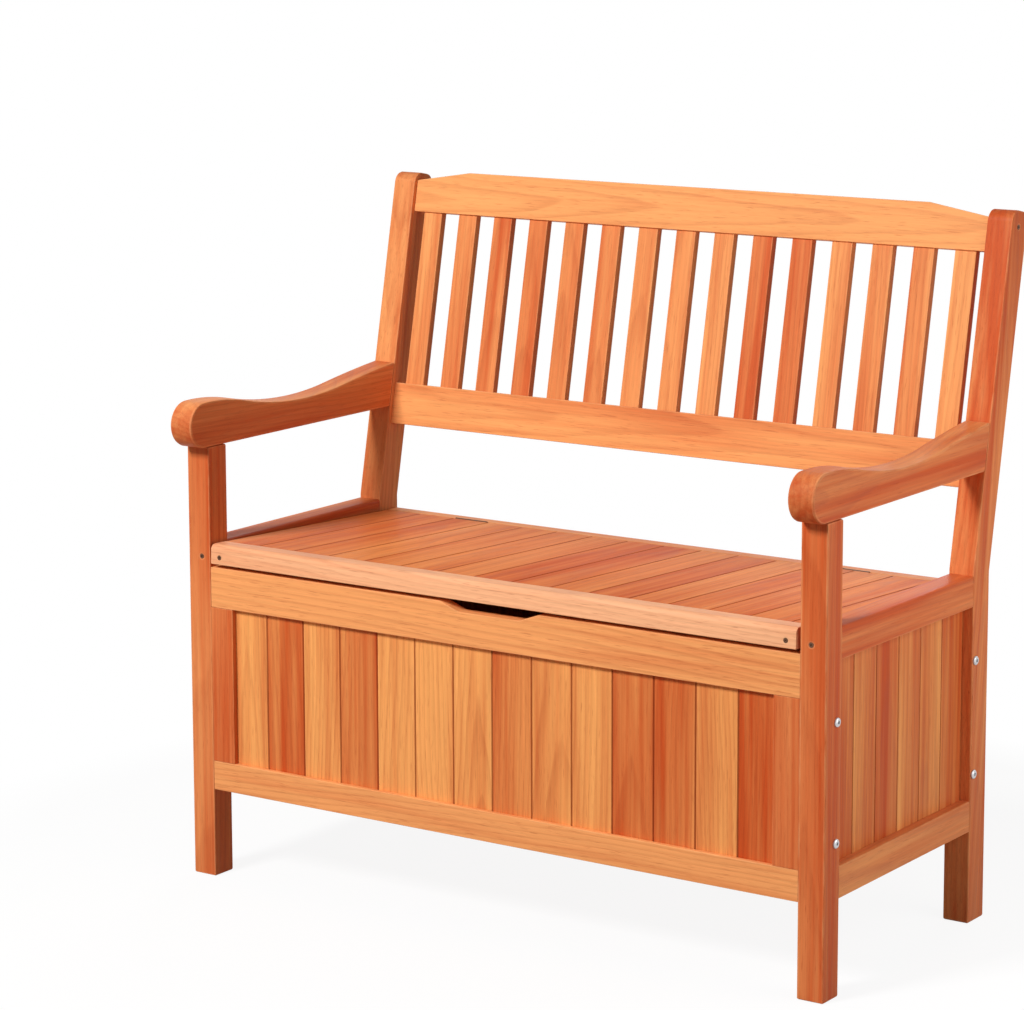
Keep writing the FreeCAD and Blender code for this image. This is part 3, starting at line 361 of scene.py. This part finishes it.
def ease_edges(piece, width):
    """Rounds the sharp edges over. The new faces take a second material for a moment, which marks them."""
    mesh = piece.data
    mesh.materials.append(mesh.materials[0])
    if width:
        finished_with(piece, "BEVEL", width=width, segments=2, limit_method="ANGLE", angle_limit=SHARP_EDGE,
                      use_clamp_overlap=False, material=1)
    eased = mesh.attributes.new("eased", "FLOAT", "FACE")
    for face in mesh.polygons:
        eased.data[face.index].value = face.material_index
        face.material_index = 0
    mesh.materials.clear()


def eased_copy(node, kind, round_over):
    """A merged copy with its edges rounded over, shaded smooth."""
    piece = merged_copy(node, f"{node}_{kind}")
    ease_edges(piece, round_over)
    only(piece)
    bpy.ops.object.shade_smooth_by_angle(angle=SMOOTH_BELOW)
    finished_with(piece, "WEIGHTED_NORMAL", keep_sharp=True, weight=50)
    return piece


def grain_axes(tilt):
    """Across the bench, back and up, for a piece that leans back by the tilt."""
    lean = math.radians(tilt)
    return (Vector((1, 0, 0)), Vector((0, math.cos(lean), -math.sin(lean))),
            Vector((0, math.sin(lean), math.cos(lean))))


SQUARE = 0.95  # How well a face lines up with one of the piece's own axes, if it isn't a bevel.
STRAIGHT_GRAIN_SHARE = 0.45
LOG_LENGTHS = 6


def pith_of(dice):
    """Where the middle of the tree lies, across and through the piece: far to one side of it for straight
    grain, and behind it for arches."""
    if dice.random() < STRAIGHT_GRAIN_SHARE:
        return (dice.choice((-1, 1)) * dice.uniform(0.07, 0.13), dice.uniform(-0.03, 0.03))
    return (dice.uniform(-0.014, 0.014), dice.uniform(0.028, 0.06))


def lay_grain(piece, tilt, tones, jointed):
    """Runs the grain along each solid's longest side, and gives each its own place in its own tree. A jointed
    piece is boards side by side, whose bevels meet in dark joints."""
    mesh = piece.data
    owners = solid_numbers(mesh)
    axes = grain_axes(tilt)
    cuts = []
    for number in range(max(owners) + 1):
        spans = [(high - low, (high + low) / 2, axis)
                 for (low, high), axis in zip(reach(mesh, owners, number, axes), axes)]
        spans.sort(key=lambda span: -span[0])
        dice = random.Random(f"{piece.name} {number}")
        pith = pith_of(dice)
        offsets = (dice.uniform(-LOG_LENGTHS, LOG_LENGTHS), *pith)
        tone = tones[number % len(tones)] if tones else dice.uniform(0.15, 0.7)
        ring_gap = dice.uniform(0.0055, 0.0115)
        cuts.append((spans, offsets, tone, ring_gap))
    for name, kind, domain in (("grain", "FLOAT_VECTOR", "POINT"), ("tone", "FLOAT", "POINT"),
                               ("ring_gap", "FLOAT", "POINT"), ("end_grain", "FLOAT", "FACE"),
                               ("joint", "FLOAT", "FACE")):
        mesh.attributes.new(name, kind, domain)
    marks = {name: mesh.attributes[name].data for name in ("grain", "tone", "ring_gap", "end_grain", "joint")}
    for vertex, owner in zip(mesh.vertices, owners):
        spans, offsets, tone, ring_gap = cuts[owner]
        marks["grain"][vertex.index].vector = [
            vertex.co.dot(axis) - middle + offset for (size, middle, axis), offset in zip(spans, offsets)]
        marks["tone"][vertex.index].value = tone
        marks["ring_gap"][vertex.index].value = ring_gap
    for face in mesh.polygons:
        spans = cuts[owners[face.vertices[0]]][0]
        along = spans[0][2]
        marks["end_grain"][face.index].value = max(0.0, abs(face.normal.dot(along)) * 2 - 1)
        square = max(abs(face.normal.dot(axis)) for axis in axes) > SQUARE
        marks["joint"][face.index].value = float(jointed and not square)


def show_for(piece, node, material):
    """Shows the piece in place of its CAD node, on the node's body."""
    piece.data.materials.append(MATERIALS[material])
    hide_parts(node)
    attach(piece, NODES[node]["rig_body"])


# How far the edges are rounded over, in metres. Boards keep the bevels that they are cut with.
LEG_ROUND = 0.002
ARM_ROUND = 0.003
RAIL_ROUND = 0.0015
FLOOR_ROUND = 0.001
THIN_ROUND = 0.0008
BOARD_ROUND = 0
STAY_ROUND = 0.0004
HINGE_ROUND = 0.0002


def dress_wood(node, slot, tilt=LEVEL, round_over=RAIL_ROUND, material=None):
    piece = eased_copy(node, "wood", round_over)
    lay_grain(piece, tilt, TONES.get(node, ()), round_over == BOARD_ROUND)
    show_for(piece, node, material or slot)


def dress_metal(node, slot, round_over=STAY_ROUND):
    show_for(eased_copy(node, "metal", round_over), node, slot)


def coat(node, slot):
    """Gives a CAD node that stays its material."""
    mesh = NODES[node].data
    mesh.materials.clear()
    mesh.materials.append(MATERIALS[slot])


SLAT_COUNT = 15

# How dark and red each piece is: 1 is the reddest, and 0 or less the palest. Boards are listed left to right.
TONES = {
    "front_boards": (0.35, 0.72, 0.15, 0.55, 0.08, 0.1, -0.1, 0.75, 0.28, 0.25, 0.75, 0.65, 0.25, 0.92),
    "front_stiles": (0.7, 0.8),
    # Pieces on the right side are set redder than their left twins, partly for their own tone and partly as
    # painted shade on that side.
    "front_leg_left": (0.7,),
    "front_leg_right": (0.8,),
    "rear_leg_left": (0.45,),
    "rear_leg_right": (0.75,),
    "armrest_left": (0.6,),
    "armrest_right": (0.72,),
    "side_upper_rail_left": (0.7,),
    "side_upper_rail_right": (0.8,),
    "side_lower_rail_right": (0.4,),
    "side_boards_right": (0.7, 0.45, 0.75, 0.5, 0.6, 0.8),
    "front_upper_rail": (-0.12,),
    "front_lower_rail": (-0.05,),
    # The top rail's tone is set pale partly to paint in the extra light that its upward-leaning face catches.
    "back_top_rail": (-0.2,),
    "back_lower_rail": (0.2,),
    "seat_nosing": (0.1,),
    "seat_boards": (0.55, 0.4, 0.5, 0.3, 0.55, 0.42, 0.35, 0.6),
}

for side in ("left", "right"):
    dress_wood(f"front_leg_{side}", "frame_wood", round_over=LEG_ROUND)
    dress_wood(f"rear_leg_{side}", "frame_wood", REAR_LEG_LEAN, LEG_ROUND)
    dress_wood(f"armrest_{side}", "frame_wood", round_over=ARM_ROUND)
    dress_wood(f"side_upper_rail_{side}", "frame_wood")
    dress_wood(f"side_lower_rail_{side}", "frame_wood")
    dress_wood(f"side_boards_{side}", "board_wood", round_over=BOARD_ROUND)
    dress_metal(f"stay_tube_{side}", "stay_tube")
    dress_metal(f"stay_rod_{side}", "stay_rod")
for end in ("front", "rear"):
    dress_wood(f"{end}_upper_rail", "frame_wood")
    dress_wood(f"{end}_lower_rail", "frame_wood")
    dress_wood(f"{end}_stiles", "frame_wood", round_over=THIN_ROUND)
    dress_wood(f"{end}_boards", "board_wood", round_over=BOARD_ROUND)
for number in range(1, SLAT_COUNT + 1):
    dress_wood(f"back_slat_{number:02d}", "back_wood", BACK_LEAN)
dress_wood("back_lower_rail", "back_wood", BACK_LEAN)
dress_wood("back_top_rail", "back_wood", BACK_LEAN)
# The nosing takes the pale wood, whose paleness is partly a painted sheen.
dress_wood("seat_nosing", "seat_wood", SEAT_SLOPE, material="pale_wood")
dress_wood("seat_boards", "seat_wood", SEAT_SLOPE, BOARD_ROUND)
for node in ("seat_edge_strips", "seat_battens", "seat_cleats"):
    dress_wood(node, "inner_wood", SEAT_SLOPE, THIN_ROUND)
for node in ("corner_battens", "floor_bearers", "floor_boards"):
    dress_wood(node, "inner_wood", round_over=FLOOR_ROUND)
for node in ("hinge_frame_leaves", "hinge_seat_leaves", "hinge_pins"):
    dress_metal(node, "dark_steel", HINGE_ROUND)
for node in ("stay_box_brackets", "stay_seat_brackets"):
    dress_metal(node, "bracket_steel")
coat("dowels", "inner_wood")
coat("frame_bolts", "bolt_steel")
coat("threaded_sleeves", "zinc_steel")
coat("frame_screws", "dark_steel")
coat("nosing_screws", "dark_steel")


# The liner: a cloth panel stretched between the seat's battens on each side of the middle one.

CLOTH_COLUMNS = 90
CLOTH_ROWS = 24
CLOTH_THICKNESS = 0.0004
CLOTH_BELOW_TOP = 0.0003
LINER_SLACK = 0.0011


def slack_at(x, y, number):
    """How far the cloth drops at a place of the panel, whose edges hold it. x and y run from -0.5 to 0.5."""
    hold = (1 - (2 * x) ** 8) * (1 - (2 * y) ** 4)
    wave = noise.noise(Vector((x * 7, y * 3, number * 5.0)))
    ripple = noise.noise(Vector((x * 19, y * 8, 9.0))) / 3
    return max((0.4 - (wave + ripple)) * LINER_SLACK * hold / 2, 0)


def stretch_liner():
    outline = merged_copy("seat_liner", "liner_outline")
    owners = solid_numbers(outline.data)
    across, back, up = axes = grain_axes(SEAT_SLOPE)
    for number in range(max(owners) + 1):
        (left, right), (front, rear), (_, top) = reach(outline.data, owners, number, axes)
        width, depth = right - left, rear - front
        only(outline)
        bpy.ops.mesh.primitive_grid_add(x_subdivisions=CLOTH_COLUMNS, y_subdivisions=CLOTH_ROWS, size=1)
        panel = bpy.context.active_object
        panel.name = f"liner_panel_{number + 1}"
        for vertex in panel.data.vertices:
            x, y = vertex.co.x, vertex.co.y
            vertex.co = (across * ((left + right) / 2 + x * width) + back * ((front + rear) / 2 + y * depth)
                         + up * (top - CLOTH_BELOW_TOP - slack_at(x, y, number)))
        finished_with(panel, "SOLIDIFY", thickness=CLOTH_THICKNESS, offset=0)
        only(panel)
        bpy.ops.object.shade_smooth()
        panel.data.materials.append(MATERIALS["liner"])
        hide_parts("seat_liner")
        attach(panel, "seat")
    bpy.data.objects.remove(outline)


stretch_liner()


# Camera, light and floor.

IMAGE_WIDTH = 1024
SENSOR = 36

# The camera that fits the photograph. Its turns are in degrees.
FOCAL_PIXELS = 3455.9
CAMERA_PLACE = (2.52654, -3.86317, 1.43033)
AZIMUTH = 34.5228
PITCH = 9.2195
ROLL = -0.1828
SHIFT = -0.1


def place_camera():
    camera = bpy.data.cameras.new("camera")
    camera.sensor_fit = "HORIZONTAL"
    camera.sensor_width = SENSOR
    camera.lens = FOCAL_PIXELS * SENSOR / IMAGE_WIDTH
    camera.shift_y = SHIFT
    camera.clip_end = FLOOR_SIZE
    holder = bpy.data.objects.new("camera", camera)
    turn = Matrix.Rotation(math.radians(AZIMUTH), 4, "Z")
    tip = Matrix.Rotation(math.radians(90 - PITCH), 4, "X")
    roll = Matrix.Rotation(math.radians(ROLL), 4, "Z")
    holder.matrix_world = Matrix.Translation(CAMERA_PLACE) @ turn @ tip @ roll
    bpy.context.scene.collection.objects.link(holder)
    bpy.context.scene.camera = holder


def add_light(name, kind, power, source, place=(0, 0, 0), **settings):
    """A light that shines from the direction of its source."""
    light = bpy.data.lights.new(name, kind)
    light.energy = power
    for setting, value in settings.items():
        setattr(light, setting, value)
    holder = bpy.data.objects.new(name, light)
    holder.location = place
    holder.rotation_euler = Vector(source).to_track_quat("Z", "Y").to_euler()
    bpy.context.scene.collection.objects.link(holder)


def add_lamp(name, place, aim, size, power):
    """A square soft lamp that faces a point of the bench."""
    add_light(name, "AREA", power, Vector(place) - Vector(aim), place, size=size)


WHITE = (1, 1, 1, 1)


def seen_directly(finish):
    """1 for what the camera sees, straight or in metal or glass, and 0 for light on its way round."""
    rays = [finish.node("ShaderNodeLightPath", output=name)
            for name in ("Is Camera Ray", "Is Glossy Ray", "Is Transmission Ray")]
    return (rays[0] + rays[1] + rays[2]).clamped()


def light_world(level):
    """A world that looks white and lights the bench at this level."""
    world = bpy.data.worlds.new("studio")
    bpy.context.scene.world = world
    finish = Finish(world)
    strength = seen_directly(finish) * (1 - level) + level
    background = finish.node("ShaderNodeBackground", {"Color": WHITE, "Strength": strength})
    finish.ended_in(background, "ShaderNodeOutputWorld")


FLOOR_SIZE = 60
WHITE_FROM = 0.9  # Metres from the bench's middle at which the floor starts to turn plain white.
WHITE_AT = 2.4
FLOOR_GLOW = 0.9  # How much of the floor's look is plain white beside the bench. The rest keeps the shadow.
FLOOR_BOUNCE = paint(170, 150, 136)  # The floor as it lights the bench.


def lay_floor():
    """A pale floor that keeps the shadow and turns plain white away from the bench."""
    bpy.ops.object.select_all(action="DESELECT")
    bpy.ops.mesh.primitive_grid_add(x_subdivisions=8, y_subdivisions=8, size=FLOOR_SIZE)
    floor = bpy.context.active_object
    floor.name = "floor"
    finish = Finish(bpy.data.materials.new("pale_floor"))
    place = finish.place()
    distance = finish.node("ShaderNodeVectorMath", {0: place}, output="Value", operation="LENGTH")
    away = ((distance - WHITE_FROM) / (WHITE_AT - WHITE_FROM)).clamped()
    seen = seen_directly(finish)
    speckle = finish.cloud(place, 40, 3)
    pale = finish.blend(speckle, paint(250, 249, 248), paint(252, 252, 252))
    matt = finish.node("ShaderNodeBsdfPrincipled", {"Base Color": finish.blend(seen, FLOOR_BOUNCE, pale),
                                                    "Roughness": 0.9, "Specular IOR Level": 0.1})
    white = finish.node("ShaderNodeEmission", {"Color": WHITE, "Strength": 1})
    mixed = finish.node("ShaderNodeMixShader", {0: (away + FLOOR_GLOW).clamped() * seen, 1: matt, 2: white})
    floor.data.materials.append(finish.ended_in(mixed))


WORLD_LEVEL = 0.17

# The key lamp stands high in front of the left arm, and a small one close to the right side.
BENCH_MIDDLE = (0, -0.1, 0.5)
KEY_PLACE = (-0.9, -3.3, 3.1)
KEY_SIZE = 0.95
KEY_POWER = 174
RIGHT_SIDE = (0.5, 0.02, 0.5)
SIDE_PLACE = (1.2, 0.02, 0.66)
SIDE_SIZE = 0.8
SIDE_POWER = 4.4

# A weak, very soft sun lights the back.
BACK_SOURCE = (-0.2, 0.95, 0.25)
BACK_POWER = 0.8
BACK_SOFTNESS = math.radians(30)

place_camera()
light_world(WORLD_LEVEL)
add_lamp("key_lamp", KEY_PLACE, BENCH_MIDDLE, KEY_SIZE, KEY_POWER)
add_light("back", "SUN", BACK_POWER, BACK_SOURCE, angle=BACK_SOFTNESS)
add_lamp("side_lamp", SIDE_PLACE, RIGHT_SIDE, SIDE_SIZE, SIDE_POWER)
lay_floor()
bpy.context.scene.view_settings.view_transform = "Standard"
